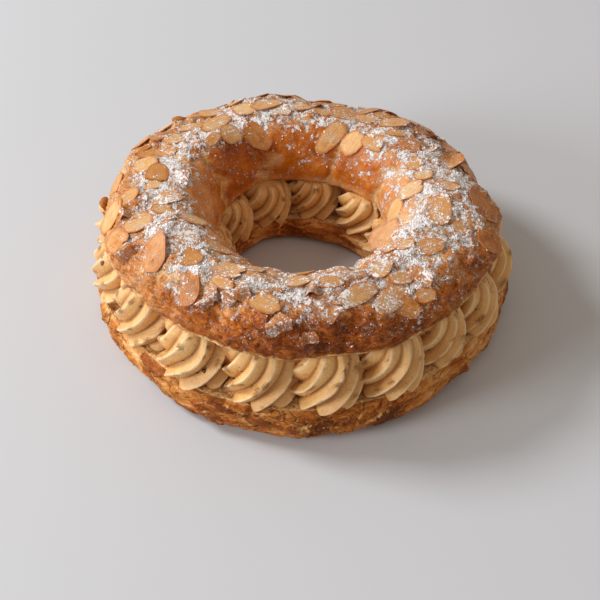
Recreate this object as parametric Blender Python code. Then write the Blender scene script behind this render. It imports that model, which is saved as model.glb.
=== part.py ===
"""Paris-Brest.

A ring of choux pastry, split level and filled.  The lower half is a shallow
ring with a rim of crust.  On it stand two rows of praline cream rosettes piped
with a closed-star nozzle, one round the outside and one round the hole, joined
by a bed of the same cream.  The domed upper half rests on the rosettes.

Units are metres, +Z up.  The ring stands on Z = 0 with its hole on the Z axis.
Sections are worked out in millimetres and scaled by MM when meshes are made.
"""

import math

import bmesh
import bpy
import numpy as np

MM = 0.001
GAP = 0.35            # clearance left between touching pieces

# ---------------------------------------------------------------- dimensions
# Lower half
BASE_R = 100.3        # widest radius of the crust
BASE_FOOT_R = 90.5    # where the flat underside ends
BASE_BULGE_Z = 10.0   # height of the widest radius
BASE_RIM_Z = 21.5     # top of the crust rim
BASE_RIM_IN = 3.4     # how far the rim leans in from the widest radius
BASE_FLOOR_Z = 13.5   # cut face beside the hole
FLOOR_BEND_R = 58.0   # where the cut face starts to rise towards the rim
HOLE_R = 35.2         # radius of the hole in the lower half

# Upper half
LID_R = 93.6          # widest radius
LID_EDGE_Z = 45.0     # cut edge of the outer side
LID_BULGE_Z = 50.5    # height of the widest radius
LID_CREST_R = 62.0    # ring of highest points
LID_CREST_Z = 65.0
LID_HOLE_R = 42.3     # inner lip
LID_LIP_Z = 34.0      # height of the inner lip
LID_HOLLOW_Z = 47.5   # hollow under the dome
LID_DIP_BACK = 0.052  # the lid lies higher in front (-Y) than behind
LID_DIP_RIGHT = 0.026 # and a little lower on the right (+X)

# Piped cream
OUTER_ROSETTE_R = 18.8
INNER_ROSETTE_R = 13.6
OUTER_AXIS_IN = 17.6  # from the crust's widest radius to a rosette's axis
INNER_AXIS_R = 46.4
OUTER_RIDGES = 9      # ridges of one rosette in each row
INNER_RIDGES = 8
RIDGE_DEPTH = 0.22    # depth of a groove as a share of the radius
PRESSED_FLAT = 0.4   # share of the depth lost where rosettes touch
TWIST = math.radians(78)
# Directions of the rosettes round the ring, in degrees from +X towards +Y
OUTER_AT = (11, 31, 50, 70, 91, 111, 131, 152, 172,
            193, 213, 236, 258, 277.5, 297, 316, 333.5, 352)
INNER_AT = (12, 46, 82, 114, 144, 176, 209, 242, 275, 308, 341)

# Share of the height and of the radius at each level of a rosette
ROSETTE_LEVELS = ((0.00, 0.86), (0.20, 1.00), (0.50, 0.92), (0.78, 0.70),
                  (1.00, 0.37))

# Out-of-round shape: (waves round the ring, amplitude, phase in degrees)
BASE_WAVES = ((2, 1.0, 0), (4, 1.1, 0), (7, 0.5, 75), (12, 0.35, 20))
HOLE_WAVES = ((1, -2.2, -75), (3, 1.6, -35), (2, 0.8, 0))
LID_WAVES = ((1, 1.0, 90), (2, 0.5, 20), (5, 0.8, 100), (7, 0.7, 40),
             (11, 0.45, 0))
LIP_WAVES = ((1, 1.1, -45), (5, -1.0, -40), (3, 0.7, 10), (9, 0.5, 60))
CREST_WAVES = ((1, 1.3, -235), (3, 0.8, 50), (6, 0.7, 130), (10, 0.5, 10))

COLUMNS = 57          # directions at which each ring's section is worked out


# ---------------------------------------------------------------- shape rules
def waves(angle, terms):
    """Sum of a few waves round the ring."""
    return sum(a * math.cos(n * angle + math.radians(p)) for n, a, p in terms)


def base_radius(angle):
    return BASE_R + waves(angle, BASE_WAVES)


def hole_radius(angle):
    return HOLE_R + waves(angle, HOLE_WAVES)


def lid_tilt(radius, angle):
    """Height that the lid's slope adds at a point of the ring."""
    return -radius * (LID_DIP_BACK * math.sin(angle)
                      + LID_DIP_RIGHT * math.cos(angle))


def lump(angle, around, amount):
    """Soft bumps of baked choux, larger towards the crest."""
    return amount * (math.sin(9 * angle + 2.1 * around)
                     * math.cos(7 * angle - 1.7 * around + 0.6)
                     + 0.6 * math.sin(17 * angle + 3.3 * around + 1.1))


def lid_radius(angle):
    return LID_R + waves(angle, LID_WAVES)


def lip_radius(angle):
    return LID_HOLE_R + waves(angle, LIP_WAVES)


def height_at(radius, rows):
    """Height from rows of (radius, height), straight between them."""
    return float(np.interp(radius, [r for r, _ in rows], [z for _, z in rows]))


def base_cut(angle):
    """Rows of the lower half's cut face: low by the hole, high at the rim."""
    return ((FLOOR_BEND_R, BASE_FLOOR_Z),
            (base_radius(angle) - 14.0, BASE_RIM_Z - 1.2))


def lid_cut(angle):
    """Rows of the lid's underside, hollow between inner lip and outer edge."""
    lip, edge = lip_radius(angle), lid_radius(angle)
    rows = ((lip + 2.0, LID_LIP_Z), (lip + 12.0, LID_HOLLOW_Z),
            (edge - 12.0, LID_HOLLOW_Z), (edge - 3.0, LID_EDGE_Z))
    return tuple((r, z + lid_tilt(r, angle)) for r, z in rows)


def base_top(radius, angle):
    return height_at(radius, base_cut(angle))


def lid_under(radius, angle):
    return height_at(radius, lid_cut(angle))


def arc(centre, size, start, stop, steps):
    """Points of an elliptical arc, angles in degrees."""
    for i in range(steps + 1):
        a = math.radians(start + (stop - start) * i / steps)
        yield (centre[0] + size[0] * math.cos(a),
               centre[1] + size[1] * math.sin(a))


def base_section(angle):
    """Closed section of the lower half at one direction, counter-clockwise."""
    r, hole = base_radius(angle), hole_radius(angle)
    foot = BASE_FOOT_R + 0.6 * waves(angle, BASE_WAVES)
    points = [(hole + 5.0, 0.0), ((hole + foot) / 2, 0.0), (foot, 0.0)]
    points += list(arc((foot, BASE_BULGE_Z), (r - foot, BASE_BULGE_Z),
                       -68, 0, 3))
    points += [(r - 0.8, BASE_RIM_Z - 5.5),
               (r - BASE_RIM_IN, BASE_RIM_Z),
               (r - BASE_RIM_IN - 2.6, BASE_RIM_Z - 0.7)]
    points += reversed(base_cut(angle))
    points += [(hole + 3.0, BASE_FLOOR_Z), (hole + 0.6, BASE_FLOOR_Z - 1.6),
               (hole + 0.4, 3.5)]
    # a rough crust: each point but those of the flat underside moves a little
    rough = []
    for k, (x, z) in enumerate(points):
        if 3 <= k <= 6:
            x += lump(angle, 0.9 * k, 0.45)
        rough.append((x, z))
    return rough


def lid_section(angle):
    """Closed section of the upper half at one direction, counter-clockwise."""
    r, lip = lid_radius(angle), lip_radius(angle)
    crest_z = LID_CREST_Z + waves(angle, CREST_WAVES)
    crest_r = LID_CREST_R + 0.6 * waves(angle, LIP_WAVES)
    dome = [(r - 3.0, LID_EDGE_Z), (r - 0.9, LID_EDGE_Z + 1.6)]
    dome += list(arc((crest_r, LID_BULGE_Z),
                     (r - crest_r, crest_z - LID_BULGE_Z), 4, 90, 6))
    dome += list(arc((crest_r, LID_LIP_Z + 3.0),
                     (crest_r - lip, crest_z - LID_LIP_Z - 3.0), 112, 180, 4))
    dome += [(lip + 0.5, LID_LIP_Z + 0.6)]
    section = []
    for k, (x, z) in enumerate(dome):
        if 1 < k < len(dome) - 2:
            a = math.pi * (k - 2) / (len(dome) - 4)
            push = lump(angle, 0.8 * k, 0.75)
            x, z = x + push * math.cos(a), z + push * math.sin(a)
        section.append((x, z + lid_tilt(x, angle)))
    return section + list(lid_cut(angle)[:-1])


def bed_section(angle):
    """Bed of cream that fills the ring between the two rows of rosettes."""
    inner, outer = lip_radius(angle) + 2.0, base_radius(angle) - 9.0
    low = ((inner, BASE_FLOOR_Z),) + base_cut(angle) + (
        (outer, base_top(outer, angle)),)
    shoulder = lid_radius(angle) - 7.0
    high = ((shoulder, lid_under(shoulder, angle)),) + lid_cut(angle)[2::-1]
    return ([(r, z + GAP) for r, z in low] + [(r, z - GAP) for r, z in high])


# ---------------------------------------------------------------- mesh makers
def new_object(name, points, faces, material=None, smooth_angle=38):
    mesh = bpy.data.meshes.new(name)
    mesh.from_pydata([tuple(c * MM for c in p) for p in points], [], faces)
    mesh.validate()
    obj = bpy.data.objects.new(name, mesh)
    bpy.context.scene.collection.objects.link(obj)
    if material:
        mesh.materials.append(material)
    mesh.shade_smooth()
    mesh.set_sharp_from_angle(angle=math.radians(smooth_angle))
    return obj


def ring(name, section, material=None):
    """Sweeps a closed section, which may change on the way, round the Z axis."""
    points, faces, count = [], [], 0
    for j in range(COLUMNS):
        angle = 2 * math.pi * j / COLUMNS
        rows = section(angle)
        count = len(rows)
        points += [(x * math.cos(angle), x * math.sin(angle), z)
                   for x, z in rows]
    for j in range(COLUMNS):
        for i in range(count):
            a = j * count + i
            b = j * count + (i + 1) % count
            c = (j + 1) % COLUMNS * count + (i + 1) % count
            d = (j + 1) % COLUMNS * count + i
            faces += [(a, d, c), (a, c, b)]
    return new_object(name, points, faces, material)


def rosette(name, ridges, axis_r, angle, radius, foot, top, turn):
    """One piped rosette: a dome whose ridges twist up round its own axis.

    Two points for each ridge, its crest and its groove, on every level.  The
    top is pressed flat where it meets the lid's underside."""
    cx, cy = axis_r * math.cos(angle), axis_r * math.sin(angle)
    columns = 2 * ridges
    points, faces = [], []
    for height, share in ROSETTE_LEVELS:
        for j in range(columns):
            around = turn + 2 * math.pi * j / columns + TWIST * height
            groove = RIDGE_DEPTH * (0.4 + 0.6 * math.sin(math.pi * min(1.0, height + 0.25)))
            # the sides that press on the neighbours are nearly smooth
            groove *= 1 - PRESSED_FLAT * math.sin(around - angle) ** 2
            r = radius * share * (1 - (groove if j % 2 else 0))
            x, y = cx + r * math.cos(around), cy + r * math.sin(around)
            z = foot + (top - foot) * height
            far, way = math.hypot(x, y), math.atan2(y, x)
            roof = min(lid_under(far + d, way) for d in (-4.0, 0.0, 3.0))
            points.append((x, y, min(z, roof - 3 * GAP)))
    low, high = len(points), len(points) + 1
    points += [(cx, cy, foot), (cx, cy, top - GAP)]
    last = (len(ROSETTE_LEVELS) - 1) * columns
    for j in range(columns):
        k = (j + 1) % columns
        faces.append((low, k, j))
        faces.append((high, last + j, last + k))
        for i in range(len(ROSETTE_LEVELS) - 1):
            a, b = i * columns, (i + 1) * columns
            faces += [(a + j, a + k, b + k), (a + j, b + k, b + j)]
    return new_object(name, points, faces)


def piping():
    """Both rows of rosettes, as helpers that the bed of cream is joined with."""
    group = bpy.data.collections.new("piping")
    bpy.context.scene.collection.children.link(group)
    rows = (("outer", OUTER_AT, OUTER_ROSETTE_R, OUTER_RIDGES),
            ("inner", INNER_AT, INNER_ROSETTE_R, INNER_RIDGES))
    for row, directions, size, ridges in rows:
        for n, degrees in enumerate(directions):
            angle = math.radians(degrees)
            if row == "outer":
                axis_r = base_radius(angle) - OUTER_AXIS_IN
                foot = BASE_RIM_Z + GAP
            else:
                axis_r = INNER_AXIS_R
            # neighbours differ by a few per cent, as piped by hand
            size_here = size * (1 + 0.035 * math.sin(2.4 * n + 0.7))
            top = lid_under(axis_r, angle) - 2 * GAP
            if row == "inner":
                # the inner row reaches no higher than the lid's lip
                top = lid_under(lip_radius(angle), angle) - 4 * GAP
                foot = base_top(axis_r + 0.85 * size_here, angle) + GAP
            obj = rosette(f"{row}_rosette_{n + 1}", ridges, axis_r, angle,
                          size_here, foot, top, math.radians(29 * n))
            bpy.context.scene.collection.objects.unlink(obj)
            group.objects.link(obj)
            obj.hide_render = True
            obj.display_type = "WIRE"
    return group


def finish(name, colour, roughness, subsurface=0.0):
    material = bpy.data.materials.new(name)
    material.use_nodes = True
    shader = material.node_tree.nodes["Principled BSDF"]
    shader.inputs["Base Color"].default_value = (*colour, 1.0)
    shader.inputs["Roughness"].default_value = roughness
    shader.inputs["Metallic"].default_value = 0.0
    shader.inputs["Subsurface Weight"].default_value = subsurface
    material.diffuse_color = (*colour, 1.0)
    return material


def fill_pockets(obj):
    """Makes the union final, and fills the small pockets that neighbouring
    ridges shut in between them: only the largest closed shell is kept."""
    graph = bpy.context.evaluated_depsgraph_get()
    joined = bpy.data.meshes.new_from_object(obj.evaluated_get(graph))
    obj.modifiers.clear()
    obj.data = joined
    work = bmesh.new()
    work.from_mesh(joined)
    left, shells = set(work.faces), []
    while left:
        shell, edge = set(), [left.pop()]
        while edge:
            face = edge.pop()
            shell.add(face)
            near = {other for side in face.edges
                    if len(side.link_faces) == 2 for other in side.link_faces}
            edge += near & left
            left -= near
        shells.append(shell)
    shells.sort(key=len)
    for shell in shells[:-1]:
        bmesh.ops.delete(work, geom=list(shell), context="FACES")
    work.to_mesh(joined)
    work.free()


def centre_on_axis(pieces):
    """Slides everything level, so that the whole's box is centred on Z."""
    graph = bpy.context.evaluated_depsgraph_get()
    corners = np.array([corner for obj in pieces
                        for corner in obj.evaluated_get(graph).bound_box])
    middle = (corners.min(axis=0) + corners.max(axis=0)) / 2
    for obj in bpy.data.objects:
        obj.location = (-middle[0], -middle[1], 0.0)


# ---------------------------------------------------------------- build
def build():
    for old in list(bpy.data.objects):
        bpy.data.objects.remove(old, do_unlink=True)

    crust = finish("baked_crust", (0.42, 0.17, 0.045), 0.45)
    cream = finish("praline_cream", (0.52, 0.31, 0.14), 0.40, 0.15)
    top_crust = finish("glazed_crust", (0.45, 0.16, 0.035), 0.35)

    base = ring("choux_base", base_section, crust)
    lid = ring("choux_lid", lid_section, top_crust)

    filling = ring("praline_cream", bed_section, cream)
    join = filling.modifiers.new("piped_rosettes", "BOOLEAN")
    join.operation = "UNION"
    join.solver = "EXACT"
    join.operand_type = "COLLECTION"
    join.collection = piping()
    fill_pockets(filling)
    centre_on_axis([base, filling, lid])
    return base, filling, lid


build()
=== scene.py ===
"""Looks of the Paris-Brest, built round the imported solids.

The three solids are replaced by finer pieces with the same sections: the
cracked lower crust, the ribbed cream and the lumpy lid.  Sliced almonds,
icing sugar and chopped nuts are added as meshes of their own.

Shapes are worked out in millimetres and scaled by MM when meshes are made.
"""

import math

import bpy
import numpy as np
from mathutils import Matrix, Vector


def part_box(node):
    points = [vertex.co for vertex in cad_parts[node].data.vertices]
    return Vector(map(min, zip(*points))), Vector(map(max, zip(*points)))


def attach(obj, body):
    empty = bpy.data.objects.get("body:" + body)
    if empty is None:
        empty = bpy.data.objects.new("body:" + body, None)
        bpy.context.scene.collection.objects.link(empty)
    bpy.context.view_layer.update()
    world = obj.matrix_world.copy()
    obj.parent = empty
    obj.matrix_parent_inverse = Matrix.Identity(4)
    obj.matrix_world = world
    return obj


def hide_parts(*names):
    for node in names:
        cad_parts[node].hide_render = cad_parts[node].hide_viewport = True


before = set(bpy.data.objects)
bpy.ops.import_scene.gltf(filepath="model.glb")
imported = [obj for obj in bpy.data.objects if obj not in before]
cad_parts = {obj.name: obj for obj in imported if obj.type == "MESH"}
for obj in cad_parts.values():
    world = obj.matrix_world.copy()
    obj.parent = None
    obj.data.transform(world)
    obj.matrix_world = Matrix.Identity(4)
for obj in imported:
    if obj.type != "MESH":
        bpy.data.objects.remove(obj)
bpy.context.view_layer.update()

MM = 0.001
TAU = 2 * math.pi

# ------------------------------------------------------------ the solids' own
# numbers, in millimetres (the same as in the part's source)
GAP = 0.35
BASE_R, BASE_FOOT_R, BASE_BULGE_Z = 100.3, 90.5, 10.0
BASE_RIM_Z, BASE_RIM_IN, BASE_FLOOR_Z = 21.5, 3.4, 13.5
FLOOR_BEND_R, HOLE_R = 58.0, 35.2
LID_R, LID_EDGE_Z, LID_BULGE_Z = 93.6, 45.0, 50.5
LID_CREST_R, LID_CREST_Z, LID_HOLE_R = 62.0, 65.0, 42.3
LID_LIP_Z, LID_HOLLOW_Z = 34.0, 47.5
LID_DIP_BACK, LID_DIP_RIGHT = 0.052, 0.026
OUTER_AXIS_IN, INNER_AXIS_R = 17.6, 46.4
OUTER_ROSETTE_R, INNER_ROSETTE_R = 18.8, 13.6
OUTER_RIDGES, INNER_RIDGES = 9, 8
OUTER_AT = (11, 31, 50, 70, 91, 111, 131, 152, 172,
            193, 213, 236, 258, 277.5, 297, 316, 333.5, 352)
INNER_AT = (12, 46, 82, 114, 144, 176, 209, 242, 275, 308, 341)
BASE_WAVES = ((2, 1.0, 0), (4, 1.1, 0), (7, 0.5, 75), (12, 0.35, 20))
HOLE_WAVES = ((1, -2.2, -75), (3, 1.6, -35), (2, 0.8, 0))
LID_WAVES = ((1, 1.0, 90), (2, 0.5, 20), (5, 0.8, 100), (7, 0.7, 40),
             (11, 0.45, 0))
LIP_WAVES = ((1, 1.1, -45), (5, -1.0, -40), (3, 0.7, 10), (9, 0.5, 60))
LOBE_CREASES = ((153, 5.0), (113, 5.5), (69, 3.2), (30, 5.0), (-14, 5.0),
                (-60, 4.0), (-110, 5.0), (-158, 4.0))
CREST_WAVES = ((1, 1.3, -235), (3, 0.8, 50), (6, 0.7, 130), (10, 0.5, 10))


def waves(angle, terms):
    return sum(a * np.cos(n * angle + math.radians(p)) for n, a, p in terms)


def base_radius(angle):
    return BASE_R + waves(angle, BASE_WAVES)


def hole_radius(angle):
    return HOLE_R + waves(angle, HOLE_WAVES)


def lid_radius(angle):
    return LID_R + waves(angle, LID_WAVES)


def lip_radius(angle):
    return LID_HOLE_R + waves(angle, LIP_WAVES)


def lid_tilt(radius, angle):
    return -radius * (LID_DIP_BACK * np.sin(angle)
                      + LID_DIP_RIGHT * np.cos(angle))


def slope(x, x0, x1, y0, y1):
    return y0 + (y1 - y0) * np.clip((x - x0) / (x1 - x0), 0, 1)


def ease(x, low, high):
    t = np.clip((x - low) / (high - low), 0, 1)
    return t * t * (3 - 2 * t)


def base_top(radius, angle):
    return slope(radius, FLOOR_BEND_R, base_radius(angle) - 14.0,
                 BASE_FLOOR_Z, BASE_RIM_Z - 1.2)


def lid_under(radius, angle):
    lip, edge = lip_radius(angle), lid_radius(angle)
    z = np.where(radius < (lip + edge) / 2,
                 slope(radius, lip + 2, lip + 12, LID_LIP_Z, LID_HOLLOW_Z),
                 slope(radius, edge - 12, edge - 3, LID_HOLLOW_Z, LID_EDGE_Z))
    return z + lid_tilt(np.clip(radius, lip + 2, edge - 3), angle)


# the part slides everything level so that its box is centred on Z
lowest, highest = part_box("choux_base")
far = np.radians(np.arange(0, 360, 6))
far_r = base_radius(far)
SHIFT = np.array([
    (lowest.x + highest.x) / 2 / MM
    - ((far_r * np.cos(far)).min() + (far_r * np.cos(far)).max()) / 2,
    (lowest.y + highest.y) / 2 / MM
    - ((far_r * np.sin(far)).min() + (far_r * np.sin(far)).max()) / 2, 0.0])

# ------------------------------------------------------------ seeded noise
rng = np.random.default_rng(20814)
TABLE = rng.permutation(512)
ARROWS = rng.normal(size=(512, 3))
ARROWS /= np.linalg.norm(ARROWS, axis=1)[:, None]
SPOTS = rng.random((512, 3))


def lattice(i, j, k):
    return TABLE[(TABLE[(TABLE[i & 511] + j) & 511] + k) & 511]


def noise(p, size, seed=0):
    """Gradient noise, about -1 to 1; size is the wavelength in millimetres."""
    q = np.asarray(p) / size + np.array([seed * 7.31, seed * 3.17, seed * 5.77])
    low = np.floor(q).astype(np.int64)
    f = q - low
    u = f * f * f * (f * (f * 6 - 15) + 10)
    total = np.zeros(q.shape[:-1])
    for a in (0, 1):
        for b in (0, 1):
            for c in (0, 1):
                arrow = ARROWS[lattice(low[..., 0] + a, low[..., 1] + b,
                                       low[..., 2] + c)]
                part = ((f - (a, b, c)) * arrow).sum(-1)
                weight = ((u[..., 0] if a else 1 - u[..., 0])
                          * (u[..., 1] if b else 1 - u[..., 1])
                          * (u[..., 2] if c else 1 - u[..., 2]))
                total += part * weight
    return total * 1.7


def fractal(p, size, octaves=3, gain=0.5, seed=0):
    total, share, whole = 0.0, 1.0, 0.0
    for n in range(octaves):
        total = total + share * noise(p, size / 2 ** n, seed + 11 * n)
        whole += share
        share *= gain
    return total / whole


def cells(p, size, seed=0):
    """Distances to the nearest and second nearest spot, and a number for each
    cell; size is one wavelength or three."""
    q = np.asarray(p) / np.asarray(size) + np.array(
        [seed * 2.71, seed * 9.13, seed * 4.47])
    low = np.floor(q).astype(np.int64)
    first = np.full(q.shape[:-1], 9.0)
    second = first.copy()
    name = np.zeros(q.shape[:-1], np.int64)
    for a in (-1, 0, 1):
        for b in (-1, 0, 1):
            for c in (-1, 0, 1):
                at = lattice(low[..., 0] + a, low[..., 1] + b, low[..., 2] + c)
                d = np.linalg.norm(low + (a, b, c) + SPOTS[at] - q, axis=-1)
                nearer = d < first
                second = np.where(nearer, first, np.minimum(second, d))
                name = np.where(nearer, at, name)
                first = np.minimum(first, d)
    return first, second, SPOTS[name, 0]


# ------------------------------------------------------------ mesh makers
def make_mesh(name, points, faces, layers=None, material=None, smooth=True,
              sharp=None):
    """points in millimetres round the ring's own axis; faces is an array with
    three or four columns, or a list of such arrays."""
    mesh = bpy.data.meshes.new(name)
    co = ((np.asarray(points, float).reshape(-1, 3) + SHIFT) * MM)
    faces = faces if isinstance(faces, list) else [faces]
    loops = np.concatenate([f.ravel() for f in faces]).astype(np.int32)
    sizes = np.concatenate([np.full(len(f), f.shape[1]) for f in faces])
    starts = np.concatenate([[0], np.cumsum(sizes)[:-1]]).astype(np.int32)
    mesh.vertices.add(len(co))
    mesh.vertices.foreach_set("co", co.astype(np.float32).ravel())
    mesh.loops.add(len(loops))
    mesh.loops.foreach_set("vertex_index", loops)
    mesh.polygons.add(len(starts))
    mesh.polygons.foreach_set("loop_start", starts)
    mesh.update(calc_edges=True)
    mesh.validate()
    for key, values in (layers or {}).items():
        layer = mesh.attributes.new(key, "FLOAT", "POINT")
        layer.data.foreach_set(
            "value", np.clip(values, -4, 4).astype(np.float32).ravel())
    if smooth:
        mesh.shade_smooth()
    if sharp:
        mesh.set_sharp_from_angle(angle=math.radians(sharp))
    if material:
        mesh.materials.append(material)
    obj = bpy.data.objects.new(name, mesh)
    bpy.context.scene.collection.objects.link(obj)
    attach(obj, "root")
    return obj


def grid_faces(rows, columns, wrap_rows=False, wrap_columns=True, start=0,
               turn=False):
    index = np.arange(rows * columns).reshape(rows, columns) + start
    right = np.roll(index, -1, 1)
    quads = np.stack([index, right, np.roll(right, -1, 0),
                      np.roll(index, -1, 0)], -1)
    quads = quads[:rows if wrap_rows else rows - 1,
                  :columns if wrap_columns else columns - 1].reshape(-1, 4)
    return quads[:, ::-1] if turn else quads


def arc(centre_r, centre_z, size_r, size_z, start, stop, steps):
    for i in range(steps + 1):
        a = math.radians(start + (stop - start) * i / steps)
        yield (centre_r + size_r * math.cos(a), centre_z + size_z * math.sin(a))


def sweep(section, columns, rows, round_off, density):
    """Fine rows of a closed section at each direction: (angles, r, z, share),
    rows x columns, with the corners rounded.  density says how close the rows
    lie, from the mean section's r and z."""
    angle = np.arange(columns) * TAU / columns
    corners = np.array([[np.broadcast_to(r, angle.shape),
                         np.broadcast_to(z, angle.shape)]
                        for r, z in section(angle)])      # K x 2 x columns
    closed = np.concatenate([corners, corners[:1]])
    mean = closed.mean(axis=2)
    along = np.concatenate([[0], np.cumsum(np.linalg.norm(
        np.diff(mean, axis=0), axis=1))])
    fine = 1600
    s = np.arange(fine) * along[-1] / fine
    k = np.clip(np.searchsorted(along, s, side="right") - 1, 0, len(mean) - 2)
    t = ((s - along[k]) / (along[k + 1] - along[k]))[:, None, None]
    dense = closed[k] * (1 - t) + closed[k + 1] * t
    turns = np.fft.rfftfreq(fine, along[-1] / fine)
    soft = np.exp(-0.5 * (TAU * turns * round_off) ** 2)[:, None, None]
    dense = np.fft.irfft(np.fft.rfft(dense, axis=0) * soft, fine, axis=0)
    middle = dense.mean(axis=2)
    weight = np.cumsum(density(middle[:, 0], middle[:, 1]))
    weight = np.concatenate([[0], weight]) / weight[-1]
    pick = np.interp(np.arange(rows) / rows, weight, np.arange(fine + 1)) % fine
    low = np.floor(pick).astype(int)
    part = (pick - low)[:, None, None]
    rows_at = dense[low] * (1 - part) + dense[(low + 1) % fine] * part
    ahead = dense[(low + 3) % fine] - dense[(low - 3) % fine]
    out = np.stack([ahead[:, 1], -ahead[:, 0]], 1)
    out /= np.linalg.norm(out, axis=1)[:, None] + 1e-9
    return angle[None, :], rows_at[:, 0], rows_at[:, 1], out[:, 0], out[:, 1]


def to_space(angle, r, z):
    return np.stack([r * np.cos(angle), r * np.sin(angle),
                     z + 0 * angle], -1)


def normals_of(points, wrap_rows=True):
    """Unit normals of a rows x columns grid that closes round the ring."""
    across = np.roll(points, -1, 1) - np.roll(points, 1, 1)
    if wrap_rows:
        down = np.roll(points, -1, 0) - np.roll(points, 1, 0)
    else:
        down = np.gradient(points, axis=0)
    n = np.cross(across, down)
    return n / (np.linalg.norm(n, axis=-1, keepdims=True) + 1e-12)


def hollowness(points, normals, step=2):
    """How far each point lies below its neighbours, in millimetres."""
    around = sum(np.roll(np.roll(points, a, 0), b, 1)
                 for a, b in ((step, 0), (-step, 0), (0, step), (0, -step),
                              (step, step), (-step, -step), (step, -step),
                              (-step, step))) / 8
    return ((around - points) * normals).sum(-1)


# ------------------------------------------------------------ materials
class Finish:
    """A procedural material, written as short calls."""

    def __init__(self, name):
        self.material = bpy.data.materials.new(name)
        self.material.use_nodes = True
        self.tree = self.material.node_tree
        self.shader = self.tree.nodes["Principled BSDF"]
        self.place = self.tree.nodes.new("ShaderNodeTexCoord").outputs["Object"]

    def give(self, socket, value):
        if isinstance(value, bpy.types.NodeSocket):
            self.tree.links.new(value, socket)
        elif isinstance(value, (tuple, list)) and len(value) == 3 \
                and socket.type == "RGBA":
            socket.default_value = (*value, 1.0)
        else:
            socket.default_value = value

    def set(self, **values):
        for key, value in values.items():
            self.give(self.shader.inputs[key.replace("_", " ")], value)

    def layer(self, name):
        node = self.tree.nodes.new("ShaderNodeAttribute")
        node.attribute_name = name
        return node.outputs["Fac"]

    def noise(self, size, detail=2.0, rough=0.5, warp=0.0, stretch=None,
              shift=0.0, along=None):
        """size in millimetres; the result is centred on 0.5.  along names two
        layers, in metres, that take the place of the object's own x and y."""
        node = self.tree.nodes.new("ShaderNodeTexNoise")
        node.inputs["Scale"].default_value = 1.0 / (size * MM)
        node.inputs["Detail"].default_value = detail
        node.inputs["Roughness"].default_value = rough
        node.inputs["Distortion"].default_value = warp
        vector = self.place
        if along:
            joined = self.tree.nodes.new("ShaderNodeCombineXYZ")
            for socket, name in zip(joined.inputs, along):
                self.give(socket, self.layer(name))
            vector = joined.outputs[0]
        if stretch or shift:
            mapping = self.tree.nodes.new("ShaderNodeMapping")
            mapping.inputs["Scale"].default_value = stretch or (1, 1, 1)
            mapping.inputs["Location"].default_value = (shift, shift, -shift)
            self.tree.links.new(vector, mapping.inputs["Vector"])
            vector = mapping.outputs["Vector"]
        self.tree.links.new(vector, node.inputs["Vector"])
        return node.outputs["Fac"]

    def spots(self, size, feature="F1", stretch=None, warp=0.0):
        """Cells of this size; warp bends their edges, in millimetres."""
        node = self.tree.nodes.new("ShaderNodeTexVoronoi")
        node.feature = feature
        node.inputs["Scale"].default_value = 1.0 / (size * MM)
        vector = self.place
        if warp:
            bend = self.tree.nodes.new("ShaderNodeTexNoise")
            bend.inputs["Scale"].default_value = 1.0 / (0.8 * size * MM)
            bend.inputs["Detail"].default_value = 3.0
            self.tree.links.new(vector, bend.inputs["Vector"])
            scaled = self.tree.nodes.new("ShaderNodeVectorMath")
            scaled.operation = "MULTIPLY_ADD"
            scaled.inputs[1].default_value = (2 * warp * MM,) * 3
            self.tree.links.new(bend.outputs["Color"], scaled.inputs[0])
            self.tree.links.new(vector, scaled.inputs[2])
            vector = scaled.outputs[0]
        if stretch:
            mapping = self.tree.nodes.new("ShaderNodeMapping")
            mapping.inputs["Scale"].default_value = stretch
            self.tree.links.new(vector, mapping.inputs["Vector"])
            vector = mapping.outputs["Vector"]
        self.tree.links.new(vector, node.inputs["Vector"])
        return node.outputs["Distance"]

    def math(self, operation, a, b=None, c=None, clamp=False):
        node = self.tree.nodes.new("ShaderNodeMath")
        node.operation, node.use_clamp = operation, clamp
        for socket, value in zip(node.inputs, (a, b, c)):
            if value is not None:
                self.give(socket, value)
        return node.outputs[0]

    def add(self, a, b, clamp=False):
        return self.math("ADD", a, b, clamp=clamp)

    def times(self, a, b, clamp=False):
        return self.math("MULTIPLY", a, b, clamp=clamp)

    def range(self, value, low, high, to_low=0.0, to_high=1.0, soft=True):
        node = self.tree.nodes.new("ShaderNodeMapRange")
        node.interpolation_type = "SMOOTHSTEP" if soft else "LINEAR"
        self.give(node.inputs["Value"], value)
        for key, number in (("From Min", low), ("From Max", high),
                            ("To Min", to_low), ("To Max", to_high)):
            self.give(node.inputs[key], number)
        return node.outputs["Result"]

    def mix(self, share, a, b, blend="MIX"):
        node = self.tree.nodes.new("ShaderNodeMix")
        node.data_type, node.blend_type = "RGBA", blend
        self.give(node.inputs["Factor"], share)
        self.give(node.inputs[6], a)
        self.give(node.inputs[7], b)
        return node.outputs[2]

    def ramp(self, value, stops):
        node = self.tree.nodes.new("ShaderNodeValToRGB")
        points = node.color_ramp.elements
        while len(points) < len(stops):
            points.new(0.5)
        for point, (at, colour) in zip(points, stops):
            point.position, point.color = at, (*colour, 1.0)
        self.give(node.inputs["Fac"], value)
        return node.outputs["Color"]

    def bump(self, height, millimetres, strength=1.0, normal=None):
        node = self.tree.nodes.new("ShaderNodeBump")
        node.inputs["Strength"].default_value = strength
        node.inputs["Distance"].default_value = millimetres * MM
        self.give(node.inputs["Height"], height)
        if normal is not None:
            self.tree.links.new(normal, node.inputs["Normal"])
        return node.outputs["Normal"]


def paint(r, g, b):
    """A colour from its display values, 0 to 255."""
    return tuple(((v / 255 + 0.055) / 1.055) ** 2.4 if v > 10 else v / 255 / 12.92
                 for v in (r, g, b))


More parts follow.
